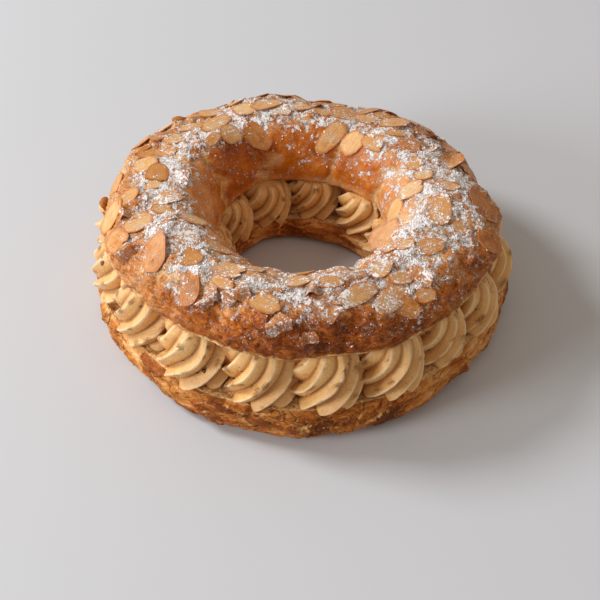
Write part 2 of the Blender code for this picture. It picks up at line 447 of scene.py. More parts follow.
def sugar_coat(look, amount, size=1.4, gain=3.0):
    """How much icing sugar covers a spot, and a height for its bump."""
    fine = look.noise(size, 5.0, 0.72, 0.5)
    level = look.add(amount, look.times(look.add(fine, -0.5), gain))
    thick = look.range(level, 0.46, 0.56)
    dust = look.range(level, 0.18, 0.47, 0.0, 0.15)
    return look.math("MAXIMUM", thick, dust), thick


SUGAR = paint(255, 247, 243)


def crust_finish():
    """Glazed choux of the lid."""
    look = Finish("glazed_crust_look")
    brown, split = look.layer("brown"), look.layer("split")
    crumb, sugar = look.layer("crumb"), look.layer("sugar")
    lumpy = look.math("SUBTRACT", 1.0, look.layer("plain"))
    blotch = look.noise(7.5, 3.0, 0.55, 0.8)
    fine = look.noise(1.9, 3.0, 0.6, 0.6)
    tone = look.add(brown, look.times(
        look.add(blotch, -0.5), look.range(lumpy, 0, 1, 0.40, 0.58, False)))
    tone = look.add(tone, look.times(
        look.add(fine, -0.5), look.range(lumpy, 0, 1, 0.22, 0.40, False)))
    colour = look.ramp(tone, [(0.0, paint(250, 212, 160)),
                              (0.22, paint(236, 178, 118)),
                              (0.42, paint(218, 144, 80)),
                              (0.60, paint(196, 106, 22)),
                              (0.80, paint(160, 76, 6)),
                              (1.0, paint(104, 46, 8))])
    gold = look.mix(look.range(fine, 0.4, 0.6), paint(230, 164, 82),
                    paint(248, 206, 138))
    colour = look.mix(look.range(split, 0.2, 0.8, 0.0, 0.85), colour, gold)
    colour = look.mix(look.range(crumb, 0.2, 0.8), colour,
                      look.mix(look.range(fine, 0.38, 0.62),
                               paint(214, 150, 84), paint(246, 206, 146)))
    # painted shade in the fine creases and rifts between lumps
    crease = look.math("ABSOLUTE", look.add(
        look.noise(4.0, 4.0, 0.6, 0.9, stretch=(0.8, 0.8, 1.5)), -0.5))
    crease = look.times(look.range(crease, 0.0, 0.028, 1.0, 0.0), lumpy)
    rift = look.spots(6.0, "DISTANCE_TO_EDGE", (0.8, 0.8, 1.7), 2.6)
    rift = look.times(look.range(rift, 0.0, 0.075, 1.0, 0.0), look.times(
        lumpy, look.range(look.noise(9.0, 2.0, 0.5), 0.46, 0.60)))
    colour = look.mix(look.times(crease, 0.45), colour, paint(112, 50, 16))
    colour = look.mix(look.times(rift, 0.50), colour, paint(104, 46, 14))
    # hairline wrinkles that run round the outer side, with painted shade along them
    line = look.math("ABSOLUTE", look.add(
        look.noise(2.6, 4.0, 0.6, 0.6, stretch=(0.40, 0.40, 1.5)), -0.5))
    line = look.times(look.range(line, 0.0, 0.035, 1.0, 0.0),
                      look.layer("band"))
    colour = look.mix(look.times(line, 0.30), colour, paint(124, 60, 18))
    coat, thick = sugar_coat(look, sugar)
    colour = look.mix(coat, colour, SUGAR)
    look.set(Base_Color=colour)
    rough = look.range(look.noise(4.0, 2.0, 0.55), 0.35, 0.65, 0.12, 0.26)
    rough = look.math("MAXIMUM", rough, look.times(coat, 0.85))
    rough = look.math("MAXIMUM", rough, look.times(crumb, 0.75))
    look.set(Roughness=rough, Specular_IOR_Level=0.21)
    wrinkle = look.times(look.noise(2.4, 5.0, 0.62, 0.7),
                         look.range(lumpy, 0, 1, 0.5, 1.0, False))
    wrinkle = look.add(wrinkle, look.times(look.add(crease, rift), -0.30))
    wrinkle = look.add(wrinkle, look.times(line, -0.22))
    normal = look.bump(wrinkle, 1.15, 0.95)
    grain = look.noise(0.6, 2.0, 0.6)
    sugar_height = look.times(thick, look.add(look.times(grain, 1.2), 0.5))
    normal = look.bump(sugar_height, 0.9, 0.95, normal)
    look.set(Normal=normal, Subsurface_Weight=0.06, Subsurface_Scale=0.0015)
    look.shader.inputs["Subsurface Radius"].default_value = (1.0, 0.45, 0.2)
    return look.material


def base_finish():
    """Plain choux of the lower half: smooth brown plates on golden crust."""
    look = Finish("baked_crust_look")
    brown, split, crumb = (look.layer("brown"), look.layer("split"),
                           look.layer("crumb"))
    blotch = look.noise(6.0, 3.0, 0.55, 0.9, stretch=(1, 1, 1.8))
    fine = look.noise(1.6, 3.0, 0.6, 0.6, stretch=(1, 1, 1.6))
    tone = look.add(brown, look.times(look.add(blotch, -0.5), 0.60))
    tone = look.add(tone, look.times(look.add(fine, -0.5), 0.26))
    colour = look.ramp(tone, [(0.0, paint(250, 212, 156)),
                              (0.22, paint(232, 172, 106)),
                              (0.42, paint(204, 126, 52)),
                              (0.60, paint(160, 82, 24)),
                              (0.80, paint(118, 56, 16)),
                              (1.0, paint(90, 42, 18))])
    # thin light seams where one plate of crust ends on the next
    seam = look.math("ABSOLUTE", look.add(
        look.noise(6.5, 3.0, 0.55, 0.9, stretch=(1, 1, 2.2), shift=3.1), -0.5))
    seam = look.times(look.range(seam, 0.0, 0.022, 1.0, 0.0),
                      look.range(look.noise(9.0, 2.0, 0.5), 0.45, 0.6))
    colour = look.mix(look.times(seam, 0.6), colour, paint(240, 184, 112))
    # cracks in the crust: painted shade in the gap, and the crust's own golden
    # colour beside it
    side = look.spots(9.0, "DISTANCE_TO_EDGE", (0.7, 0.7, 1.9), 3.6)
    some = look.range(look.noise(10.0, 2.0, 0.5), 0.48, 0.60)
    rift = look.times(look.range(side, 0.0, 0.045, 1.0, 0.0), some)
    beside = look.times(look.range(side, 0.04, 0.13, 1.0, 0.0), some)
    colour = look.mix(look.times(beside, 0.40), colour, paint(218, 142, 66))
    colour = look.mix(look.times(rift, 0.75), colour, paint(84, 38, 14))
    colour = look.mix(look.range(split, 0.2, 0.8, 0.0, 0.85), colour,
                      look.mix(look.range(fine, 0.4, 0.6), paint(226, 158, 84),
                               paint(250, 206, 138)))
    pores = look.noise(1.5, 4.0, 0.7)
    pale = look.mix(look.range(pores, 0.34, 0.58), paint(196, 130, 68),
                    paint(240, 198, 140))
    colour = look.mix(look.range(crumb, 0.25, 0.75), colour, pale)
    look.set(Base_Color=colour)
    rough = look.range(look.noise(4.0, 2.0, 0.5), 0.35, 0.65, 0.30, 0.50)
    look.set(Roughness=look.math("MAXIMUM", rough, look.times(crumb, 0.8)),
             Specular_IOR_Level=0.16)
    height = look.add(look.add(fine, look.times(blotch, 0.5)),
                      look.add(look.times(seam, 0.25), look.times(rift, -0.7)))
    normal = look.bump(height, 1.0, 0.95)
    look.set(Normal=look.bump(look.times(pores, crumb), 0.9, 0.9, normal),
             Subsurface_Weight=0.08, Subsurface_Scale=0.0018)
    look.shader.inputs["Subsurface Radius"].default_value = (1.0, 0.5, 0.25)
    return look.material


def cream_finish():
    """Praline mousseline, with ground nut through it."""
    look = Finish("praline_cream_look")
    edge, torn = look.layer("edge"), look.layer("torn")
    cloud = look.noise(10.0, 3.0, 0.5, 0.3)
    fine = look.noise(0.9, 4.0, 0.66)
    colour = look.mix(look.range(cloud, 0.32, 0.68), paint(223, 167, 98),
                      paint(234, 185, 118))
    # painted highlight along the ridge crests
    colour = look.mix(look.range(edge, 0.78, 1.0, 0.0, 0.60), colour,
                      paint(250, 220, 178))
    # painted shade in the grooves between ridges
    colour = look.mix(look.range(edge, 0.36, 0.0, 0.0, 0.75), colour,
                      paint(176, 108, 46))
    # ground nut: faint grains everywhere, a few darker ones
    speck = look.range(look.spots(2.0), 0.10, 0.20, 1.0, 0.0)
    some = look.range(look.noise(6.0, 1.0, 0.5), 0.42, 0.58)
    colour = look.mix(look.times(speck, look.times(some, 0.6)), colour,
                      paint(142, 82, 38))
    tiny = look.range(look.noise(0.5, 2.0, 0.6), 0.38, 0.28, 0.0, 0.5)
    colour = look.mix(tiny, colour, paint(168, 112, 62))
    # streaks of caramel where the piping has dragged
    drag = look.range(look.add(torn, look.times(look.add(fine, -0.5), 2.0)),
                      0.42, 0.80)
    colour = look.mix(look.times(drag, 0.6), colour,
                      look.mix(look.range(fine, 0.44, 0.58), paint(172, 98, 42),
                               paint(232, 164, 100)))
    look.set(Base_Color=colour)
    look.set(Roughness=look.range(fine, 0.3, 0.7, 0.21, 0.34),
             Specular_IOR_Level=0.45)
    normal = look.bump(look.add(fine, look.times(look.noise(2.6, 2.0, 0.5), 0.8)),
                       0.42, 0.9)
    look.set(Normal=look.bump(look.times(torn, look.noise(0.9, 4.0, 0.7)),
                              1.6, 0.95, normal))
    look.set(Subsurface_Weight=0.07, Subsurface_Scale=0.0014)
    look.shader.inputs["Subsurface Radius"].default_value = (1.0, 0.55, 0.28)
    return look.material


def almond_finish():
    look = Finish("almond_flakes_look")
    rim, tone = look.layer("rim"), look.layer("tone")
    sugar, vein = look.layer("sugar"), look.layer("vein")
    fine = look.noise(0.9, 3.0, 0.6)
    # the grain of the nut runs along each slice
    grain = look.noise(1.0, 3.0, 0.6, 0.0,
                       along=("grain_x", "grain_y"), stretch=(0.22, 1.1, 1))
    level = look.add(tone, look.times(look.add(fine, -0.5), 0.30))
    level = look.add(level, look.times(look.add(grain, -0.5), 0.65))
    level = look.add(level, look.times(look.add(look.noise(5.0, 2.0, 0.5), -0.5),
                                       0.45))
    colour = look.ramp(level, [(0.0, paint(228, 184, 126)),
                               (0.28, paint(214, 156, 90)),
                               (0.55, paint(196, 126, 56)),
                               (0.80, paint(156, 84, 32)),
                               (1.0, paint(104, 52, 22))])
    colour = look.mix(look.range(rim, 0.76, 0.96, 0.0, 0.80), colour,
                      paint(186, 104, 32))
    dots = look.times(vein, look.range(look.noise(1.1, 2.0, 0.6), 0.50, 0.60))
    colour = look.mix(look.times(dots, 0.45), colour, paint(150, 88, 42))
    coat, thick = sugar_coat(look, sugar, 1.1, 2.8)
    colour = look.mix(coat, colour, SUGAR)
    look.set(Base_Color=colour)
    look.set(Roughness=look.math("MAXIMUM", look.range(fine, 0.3, 0.7, 0.36, 0.55),
                                 look.times(coat, 0.85)),
             Specular_IOR_Level=0.35)
    normal = look.bump(look.add(grain, look.times(fine, 0.4)), 0.22, 0.8)
    look.set(Normal=look.bump(thick, 0.45, 0.8, normal), Subsurface_Weight=0.05,
             Subsurface_Scale=0.0015)
    look.shader.inputs["Subsurface Radius"].default_value = (1.0, 0.6, 0.3)
    return look.material


def sugar_finish():
    look = Finish("icing_sugar_look")
    colour = look.mix(look.noise(0.8, 2.0, 0.5), paint(252, 244, 240),
                      paint(255, 251, 249))
    look.set(Base_Color=colour, Roughness=0.75, Specular_IOR_Level=0.25)
    look.set(Normal=look.bump(look.noise(0.3, 2.0, 0.6), 0.08, 0.8))
    return look.material


def nut_finish():
    look = Finish("nut_specks_look")
    level = look.add(look.layer("tone"),
                     look.times(look.add(look.noise(0.8, 3.0, 0.6), -0.5), 0.8))
    colour = look.ramp(level, [(0.0, paint(196, 138, 82)),
                               (0.5, paint(146, 92, 50)),
                               (1.0, paint(92, 54, 32))])
    look.set(Base_Color=colour, Roughness=0.45, Specular_IOR_Level=0.4)
    look.set(Normal=look.bump(look.noise(0.5, 2.0, 0.6), 0.12, 0.8))
    return look.material


# ------------------------------------------------------------ lower crust
def base_section(angle):
    r, hole = base_radius(angle), hole_radius(angle)
    foot = BASE_FOOT_R + 0.6 * waves(angle, BASE_WAVES)
    points = [(hole + 5.0, 0.0), (foot, 0.0)]
    points += list(arc(foot, BASE_BULGE_Z, r - foot, BASE_BULGE_Z, -72, 0, 12))
    points += [(r - 0.8, BASE_RIM_Z - 5.5), (r - BASE_RIM_IN, BASE_RIM_Z),
               (r - BASE_RIM_IN - 2.6, BASE_RIM_Z - 0.7),
               (r - 14.0, BASE_RIM_Z - 1.2), (FLOOR_BEND_R, BASE_FLOOR_Z),
               (hole + 3.0, BASE_FLOOR_Z), (hole + 0.6, BASE_FLOOR_Z - 1.6),
               (hole + 0.4, 3.5)]
    return points


def make_base():
    columns, rows = 740, 98

    def density(r, z):
        close = np.where((r > 87) & (z > 0.6), 1.3, 0.25)
        close = np.where((r < 52) & (z > 0.6), 0.9, close)
        return np.where((r > 56) & (r < 82), 0.14, close)

    angle, r, z, out_r, out_z = sweep(base_section, columns, rows, 0.7, density)
    p = to_space(angle, r, z)
    wall = ease(r, 84, 91) * ease(z, 0.6, 3.0)
    rim = ease(r, 86, 92) * ease(z, 18.6, 20.4) * ease(out_z, 0.4, 0.8)
    inner = ease(-r, -56, -50) * ease(z, 0.8, 3.0)
    # smooth plates of crust, wider than high, each a little proud of the next
    warp = np.stack([noise(p, 10, s) for s in (31, 32, 33)], -1)
    small = np.stack([noise(p, 3.6, s) for s in (34, 35, 36)], -1)
    q = p * (1, 1, 1.9) + 3.2 * warp + 1.1 * small
    d1, d2, kind = cells(q, (12.5, 12.5, 8.0), 7)
    gap = d2 - d1
    plated = ease(noise(p, 20, 9), -0.45, 0.05)
    seam = np.exp(-(gap / 0.075) ** 2) * plated
    plate = (kind - 0.5) * ease(gap, 0.0, 0.16) * plated
    # here and there an edge has lifted
    lip = ease(gap, 0.02, 0.10) * ease(-gap, -0.34, -0.14) \
        * ease(noise(p, 13, 11), 0.18, 0.42) * plated
    swell = 0.75 * noise(p, 28, 1) + 0.55 * noise(p, 12, 2)
    folds = np.abs(noise(p * (0.6, 0.6, 1.5), 9.0, 6)) * 1.1 - 0.3
    fine = fractal(p * (0.8, 0.8, 1.5), 4.2, 3, 0.62, 12)
    # the same again, smaller
    e1, e2, kind2 = cells(p * (1, 1, 1.9) + 2.2 * small, (8.4, 8.4, 5.4), 23)
    seam2 = np.exp(-((e2 - e1) / 0.10) ** 2) * ease(noise(p, 11, 24), -0.3, 0.3)
    d = wall * (swell + 1.35 * plate - 0.75 * seam + 0.9 * lip + folds
                + 0.42 * fine + 0.55 * (kind2 - 0.5) * ease(e2 - e1, 0, 0.15)
                - 0.5 * seam2)
    turn = (np.degrees(angle) - 206 + 180) % 360 - 180
    d = d - wall * 1.5 * np.exp(-(turn / 15) ** 2)
    # the torn crumb of the cut face and the rounded crust round the hole
    h1, h2, _ = cells(p, 3.4, 14)
    pores = 0.9 * (np.clip(h1, 0, 0.62) - 0.42)
    crumbs = ease(out_z, 0.55, 0.9) * ease(z, 10.0, 12.5) \
        * ease(r - hole_radius(angle), 2.2, 5.0)
    d = d * (1 - 0.5 * crumbs) + crumbs * (0.8 * noise(p, 7, 21)
                                           + 0.5 * noise(p, 3, 22) + 1.0 * pores)
    d = d + inner * (1 - crumbs) * (0.7 * noise(p, 9, 15)
                                    + 0.25 * noise(p, 3.5, 16))
    under = ease(-out_z, 0.6, 0.95)
    d = d * (1 - under)
    r2, z2 = r + d * out_r, z + d * out_z
    z2 = np.maximum(z2, 0.0)
    p2 = to_space(angle, r2, z2)
    n = normals_of(p2)
    n = np.where(((n[..., 2] * out_z) + n[..., 0] * np.cos(angle) * out_r
                  + n[..., 1] * np.sin(angle) * out_r < 0)[..., None], -n, n)
    low = hollowness(p2, n)
    left = ease(-np.cos(angle), 0.1, 1.0)
    patch = ease(kind, 0.46, 0.60) * ease(gap, 0.03, 0.14) * plated
    # paler on the left: painted light on the lit side
    brown = (0.50 + 0.10 * noise(p, 24, 41) + 0.32 * patch - 0.22 * left
             + 0.16 * (kind2 - 0.5)
             - 0.16 * ease(np.cos(angle), 0.3, 1.0)
             - 0.06 * inner - 0.06 * ease(-z2, -4, -1))
    split = (0.75 * seam * ease(noise(p, 7, 45), -0.25, 0.25)
             + 0.9 * lip * ease(low, -0.4, -0.05)) * wall
    split = np.clip(split, 0, 1)
    # browner in the hollows: painted shade
    brown = brown + 0.2 * np.clip(low, -0.35, 0.6)
    crumb = np.clip(crumbs * (1.0 + 0.25 * noise(p, 5, 46)), 0, 1)
    crumb = np.maximum(crumb, rim * 0.5)
    brown = np.where(under > 0.5, 0.58 + 0.2 * noise(p, 12, 47), brown)
    obj = make_mesh("choux_base_crust", p2.reshape(-1, 3),
                    grid_faces(rows, columns, True, True),
                    {"brown": brown, "split": split, "crumb": crumb},
                    base_finish())
    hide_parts("choux_base")
    return obj


# ------------------------------------------------------------ lid
def lid_section(angle):
    r, lip = lid_radius(angle), lip_radius(angle)
    crest_z = LID_CREST_Z + waves(angle, CREST_WAVES)
    crest_r = LID_CREST_R + 0.6 * waves(angle, LIP_WAVES)
    dome = [(r - 3.0, LID_EDGE_Z + 0 * r), (r - 0.9, LID_EDGE_Z + 1.6 + 0 * r)]
    dome += list(arc(crest_r, LID_BULGE_Z, r - crest_r, crest_z - LID_BULGE_Z,
                     4, 90, 26))
    dome += list(arc(crest_r, LID_LIP_Z + 3.0, crest_r - lip,
                     crest_z - LID_LIP_Z - 3.0, 96, 180, 22))
    dome += [(lip + 0.5, LID_LIP_Z + 0.6 + 0 * r), (lip + 2.0, LID_LIP_Z + 0 * r),
             (lip + 12.0, LID_HOLLOW_Z + 0 * r), (r - 12.0, LID_HOLLOW_Z + 0 * r)]
    return [(x, z + lid_tilt(x, angle)) for x, z in dome]


def make_lid():
    columns, rows = 840, 118

    def density(r, z):
        hidden = ((r > 55) & (r < 84) & (z < 50)) | ((r < 56) & (z < 47)
                                                     & (z < 33 + (r - 48) * 1.2))
        return np.where(hidden, 0.28, 1.0)

    angle, r, z, out_r, out_z = sweep(lid_section, columns, rows, 1.1, density)
    level = z - lid_tilt(r, angle)          # height before the lid's slope
    p = to_space(angle, r, level)
    under = ease(-out_z, 0.25, 0.7)
    outer = ease(r, 66, 84)
    inner = ease(-r, -60, -50) * (1 - under)
    band = ease(r, 80, 90) * (1 - under)    # the outer side
    warp = np.stack([noise(p, 22, s) for s in (51, 52, 53)], -1)
    q = p + 4.0 * warp
    # big puffs with creases between them, then smaller ones
    puff = np.abs(noise(q, 34, 1)) * 3.6 - 1.15
    puff2 = np.abs(noise(q, 14, 2)) * 1.9 - 0.55
    lump = np.abs(noise(q, 7.0, 5)) * 1.5 - 0.4
    knob = np.abs(noise(q + 1.2 * noise(p, 5, 8)[..., None], 4.2, 13)) * 1.5 - 0.4
    swell = 1.2 * noise(p, 48, 3)
    fine = fractal(p, 5.0, 3, 0.62, 4)
    # wrinkles that run round the ring on the outer side
    wq = np.stack([q[..., 0] / 3.0, q[..., 1] / 3.0, q[..., 2]], -1)
    wrinkle = np.abs(noise(wq, 3.6, 6))
    d1, d2, kind = cells(q, (15, 15, 6.0), 7)
    gap = d2 - d1
    cracked = ease(noise(p, 30, 9) + 0.65 * band - 0.45 * inner, 0.15, 0.75)
    crack = np.exp(-(gap / 0.06) ** 2) * cracked * ease(noise(p, 10, 10), -0.2, 0.3)
    flake = (kind - 0.5) * cracked
    # the inner side is smooth lobes with a torn crease between each two
    crease = 0.0
    for at, wide in LOBE_CREASES:
        turn = (np.degrees(angle) - at + 180) % 360 - 180 + 0.12 * (level - 45)
        crease = crease + np.exp(-((turn + 5 * noise(p, 9, 17)) / wide) ** 2)
    crease = crease * inner
    rough = 1 - 0.72 * inner
    d = (swell + puff * (1 - 0.75 * inner) + puff2 * (1 - 0.6 * inner)
         + lump * rough + 0.85 * fine * rough
         + knob * rough * (0.35 + 0.30 * band)
         - 0.9 * wrinkle * band + 0.7 * flake * (0.4 + 0.6 * band)
         - 0.8 * crack + inner * 0.9 - 2.3 * crease)
    # lower behind, fuller over the front of the hole
    d = d - 1.6 * ease(np.sin(angle), 0.2, 0.9) * ease(r, 60, 80)
    d = d - 2.6 * ease(-np.sin(angle), 0.35, 0.95) * ease(-r, -66, -56) \
        * ease(level, 50, 57)
    d = d * (1 - 0.75 * under)
    # the cut edge is ragged
    edge = ease(-level, -49.5, -45.5) * band
    d = d + edge * (0.9 * noise(p, 7, 14) + 0.5 * noise(p, 3, 18))
    lip = ease(-level, -41, -36) * inner
    d = d * (1 - 0.6 * lip) + lip * (0.8 * noise(p, 8, 15) + 0.4 * noise(p, 3, 16))
    r2, z2 = r + d * out_r, z + d * out_z
    p2 = to_space(angle, r2, z2)
    n = normals_of(p2)
    n = np.where((n[..., 0] * np.cos(angle) * out_r
                  + n[..., 1] * np.sin(angle) * out_r + n[..., 2] * out_z
                  < 0)[..., None], -n, n)
    low = hollowness(p2, n, 2)
    wide = hollowness(p2, n, 6)
    front = ease(-np.sin(angle), 0.0, 1.0)
    left = ease(-np.cos(angle), 0.1, 1.0)
    right = ease(np.cos(angle), 0.2, 1.0)
    back = ease(np.sin(angle), 0.0, 0.6)
    # front band browner and left of the outer side paler: partly the crust's own
    # browning, partly painted shade on the front and painted light on the lit left
    brown = (0.40 + 0.12 * noise(p, 26, 21) + 0.12 * noise(p, 8, 22)
             + 0.21 * front * band - 0.29 * left * band + 0.06 * band
             - 0.13 * right * band
             + 0.19 * inner * back - 0.12 * inner * right
             - 0.08 * np.exp(-((r2 - 62) / 12) ** 2)
             - 0.22 * np.clip(wide, -0.5, 0.8) + 0.1 * (kind - 0.5) * band)
    split = np.clip((0.35 + 0.35 * (1 - band)) * crack
                    * ease(noise(p, 8, 24), -0.2, 0.4)
                    + 0.8 * ease(crease, 0.35, 0.9)
                    * ease(noise(p, 6, 25), -0.3, 0.3), 0, 1) * (1 - under)
    brown = brown + 0.22 * crack - 0.15 * crease - 0.26 * inner \
        * ease(-level, -42, -36)
    crumb = np.clip(under + ease(-level, -46.6, -45.2) * band * 0.8, 0, 1)
    up = np.clip(n[..., 2], 0, 1)
    crest = np.exp(-((r2 - 66.5) / 17.0) ** 2)
    cover = (0.12 + 0.42 * crest * ease(up, 0.25, 0.88)
             + 0.08 * (1 - inner) * (1 - band)
             - 0.10 * ease(r2, 84, 93) - 0.05 * inner * back
             + 0.12 * inner * right * ease(level, 44, 54)
             - 0.14 * band * ease(-level, -57, -49) - 0.04 * left
             - 0.06 * front * (1 - inner) + 0.06 * right
             + 0.14 * noise(p, 15, 26)
             + 0.20 * np.clip(low, -0.3, 0.4))
    field = 0.34 * noise(p2, 6.0, 96) + 0.40 * noise(p2, 2.4, 97)
    sugar = np.clip(cover + field, 0, 1.2) * (1 - under)
    heap = ease(sugar, 0.40, 0.75) * 0.30
    p2 = p2 + n * heap[..., None]
    obj = make_mesh("choux_lid_crust", p2.reshape(-1, 3),
                    grid_faces(rows, columns, True, True),
                    {"brown": brown, "split": split, "crumb": crumb,
                     "sugar": sugar, "band": band, "plain": np.maximum(
                         inner * (1 - 0.6 * crease), 0.6 * left * band)},
                    crust_finish())
    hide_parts("choux_lid")
    return obj, p2, n, sugar, under


# ------------------------------------------------------------ piped cream
def rosette(ridges, axis_r, turned, radius, broad, foot, high, turn, seed,
            columns, rows, dent):
    """Points, faces and layers of one rosette.

    Its ridges wind up round its axis, nearly level at the foot and nearly
    upright at the top.  radius is its reach out from its axis, broad its
    reach along the ring."""
    picker = np.random.default_rng(seed)
    h = np.concatenate([[-0.10, -0.05], np.linspace(0, 1, rows - 2)])[:, None]
    share = np.interp(h, (-0.10, -0.05, 0.0, 0.07, 0.18, 0.40, 0.56, 0.72,
                          0.86, 1.0),
                      (0.60, 0.80, 0.92, 0.985, 1.0, 0.98, 0.93, 0.84,
                       0.72, 0.52))
    hh = np.clip(h, 0, 1)
    winding = math.radians(84) * (1 - (1 - hh) ** 1.55)
    # the columns run along the ridges, so that their backs stay sharp
    each = columns // ridges
    step = np.arange(columns)[None, :] + 0 * h
    whole, u = np.arange(columns) // each, (np.arange(columns) % each) / each
    whole, u = whole[None, :], u[None, :]
    way = step * TAU / columns + turn + winding
    # ridges are not all as wide as each other
    parts = [(k, picker.uniform(0.03, 0.07), picker.uniform(0, TAU))
             for k in (1, 2, 3, 5)]
    way = way + sum(a * np.sin(k * way + b) for k, a, b in parts)
    # a short steep side and a broad, nearly flat one, rounder at the foot
    summit = round(each * 0.30) / each
    t = np.where(u < summit, u / summit, (1 - u) / (1 - summit))
    power = np.where(u < summit, 1.35, 1.08)
    ridge = 1 - (1 - t) ** power
    heights = picker.uniform(0.80, 1.14, ridges)[whole]
    soft = t * t * (3 - 2 * t)
    deep = dent * (0.48 + 0.52 * np.sin(math.pi * np.clip(hh + 0.12, 0, 1)))
    size = share * (1 - deep * (1 - ridge * (1 + (heights - 1) * soft * 0.5)))
    outward, along = radius * size * np.cos(way), broad * size * np.sin(way)
    z = foot + (high - foot) * h
    # each ridge ends below in a rounded lobe
    z = z - 2.6 * (ridge - 0.45) * (1 - ease(hh, 0.0, 0.30))
    x = axis_r + outward
    ca, sa = math.cos(turned), math.sin(turned)
    p = np.stack([x * ca - along * sa, x * sa + along * ca,
                  np.broadcast_to(z, x.shape)], -1)
    n = np.stack([np.cos(way) * ca - np.sin(way) * sa,
                  np.cos(way) * sa + np.sin(way) * ca, 0 * way], -1)
    n = np.broadcast_to(n, p.shape)
    torn = ease(noise(p * (1, 1, 0.8), 4.2, 60 + seed % 17) + 0.2 * t, 0.42, 0.75)
    torn = torn * ease(ridge, 0.35, 0.8) * ease(hh, 0.03, 0.15)
    push = (0.30 * noise(p, 9.0, 71) + 0.10 * noise(p, 2.6, 72)
            + torn * (0.42 * noise(p, 1.7, 73) - 0.12))
    p = p + n * push[..., None]
    # edge is the ridge height from groove to crest; the cream look paints highlight
    # on high values and shade on low ones
    edge = ridge * (0.8 + 0.2 * soft)
    return p, edge + 0 * push, torn, hh + 0 * push


def piped_row(name, directions, size, row, columns, rows, dent, material):
    all_points, all_faces, layers = [], [], {"edge": [], "torn": []}
    spots, count, start = [], len(directions), 0
    for n, degrees in enumerate(directions):
        angle = math.radians(degrees)
        before = (degrees - directions[n - 1]) % 360
        after = (directions[(n + 1) % count] - degrees) % 360
        pitch = math.radians((before + after) / 2)
        size_here = size * (1 + 0.035 * math.sin(2.4 * n + 0.7))
        one = np.float64(angle)
        if row == "outer":
            axis_r = float(base_radius(one)) - OUTER_AXIS_IN
            foot = BASE_RIM_Z + 0.1
            top = float(lid_under(np.float64(axis_r), one)) - GAP
            broad = 0.5 * axis_r * pitch * 1.27
            broad = 0.5 * (broad + size_here)
        else:
            axis_r = INNER_AXIS_R
            top = float(lid_under(lip_radius(one), one)) + 1.0
            foot = float(base_top(np.float64(axis_r + 0.85 * size_here), one)) + 0.1
            broad = 0.5 * (0.5 * axis_r * pitch * 1.27 + size_here * 1.06)
        ridges = OUTER_RIDGES if row == "outer" else INNER_RIDGES
        p, edge, torn, hh = rosette(ridges, axis_r, angle, size_here, broad, foot,
                                    top,
                                    math.radians(29 * n), 900 + 13 * n
                                    + (500 if row == "inner" else 0),
                                    columns, rows, dent)
        far_, way_ = np.hypot(p[..., 0], p[..., 1]), np.arctan2(p[..., 1], p[..., 0])
        roof = np.minimum(lid_under(far_, way_),
                          lid_under(far_ - 3, way_)) + 0.6
        p[..., 2] = np.minimum(p[..., 2], roof)
        floor = base_top(far_, way_) + 0.3
        floor = np.where(far_ > base_radius(way_) - 3.5, BASE_RIM_Z - 3.8, floor)
        floor = np.where(far_ < hole_radius(way_) + 2.6, BASE_FLOOR_Z - 3.0, floor)
        p[..., 2] = np.maximum(p[..., 2], floor)
        caps = np.array([p[0].mean(0), p[-1].mean(0)])
        all_points += [p.reshape(-1, 3), caps]
        all_faces.append(grid_faces(rows, columns, start=start))
        ring = np.arange(columns) + start
        low, high = start + rows * columns, start + rows * columns + 1
        last = ring + (rows - 1) * columns
        caps_faces = np.concatenate([
            np.stack([np.full(columns, low), np.roll(ring, -1), ring], 1),
            np.stack([np.full(columns, high), last, np.roll(last, -1)], 1)])
        layers.setdefault("caps", []).append(caps_faces)
        layers["edge"] += [edge.ravel(), [0.5, 0.5]]
        layers["torn"] += [torn.ravel(), [0.0, 0.0]]
        # places for nut pieces: hollows between ridges that show
        spots.append((p, edge, hh, angle, axis_r))
        start += rows * columns + 2
    faces = [np.concatenate(all_faces), np.concatenate(layers.pop("caps"))]
    layers = {key: np.concatenate(value) for key, value in layers.items()}
    obj = make_mesh(name, np.concatenate(all_points), faces, layers, material)
    return obj, spots


def make_bed(material):
    """Cream between the rows, seen only in the gaps between rosettes."""
    def section(angle):
        inner, outer = lip_radius(angle) + 6.0, base_radius(angle) - 13.0
        rise = base_radius(angle) - 14.0
        edge = lid_radius(angle)
        low = [(inner, BASE_FLOOR_Z + 0.3), (FLOOR_BEND_R, BASE_FLOOR_Z + 0.3),
               (rise, BASE_RIM_Z - 0.9), (outer, BASE_RIM_Z - 0.9)]
        high = [(edge - 7.5, None), (edge - 12.0, None),
                (lip_radius(angle) + 12.0, None), (inner + 0.6, None)]
        high = [(x, lid_under(x, angle) - 0.2) for x, _ in high]
        return low + high

    columns, rows = 360, 40
    angle, r, z, out_r, out_z = sweep(section, columns, rows, 0.8,
                                      lambda r, z: np.ones_like(r))
    p = to_space(angle, r, z)
    d = 0.8 * noise(p, 9, 81) + 0.3 * noise(p, 3, 82)
    d = d * ease(1 - np.abs(out_z), 0.1, 0.6)
    p = to_space(angle, r + d * out_r, z + d * out_z)
    # edge 0.1 gives the whole bed the cream's painted groove shade
    obj = make_mesh("praline_cream_bed", p.reshape(-1, 3),
                    grid_faces(rows, columns, True, True),
                    {"edge": np.full(rows * columns, 0.1),
                     "torn": np.zeros(rows * columns)}, material)
    return obj


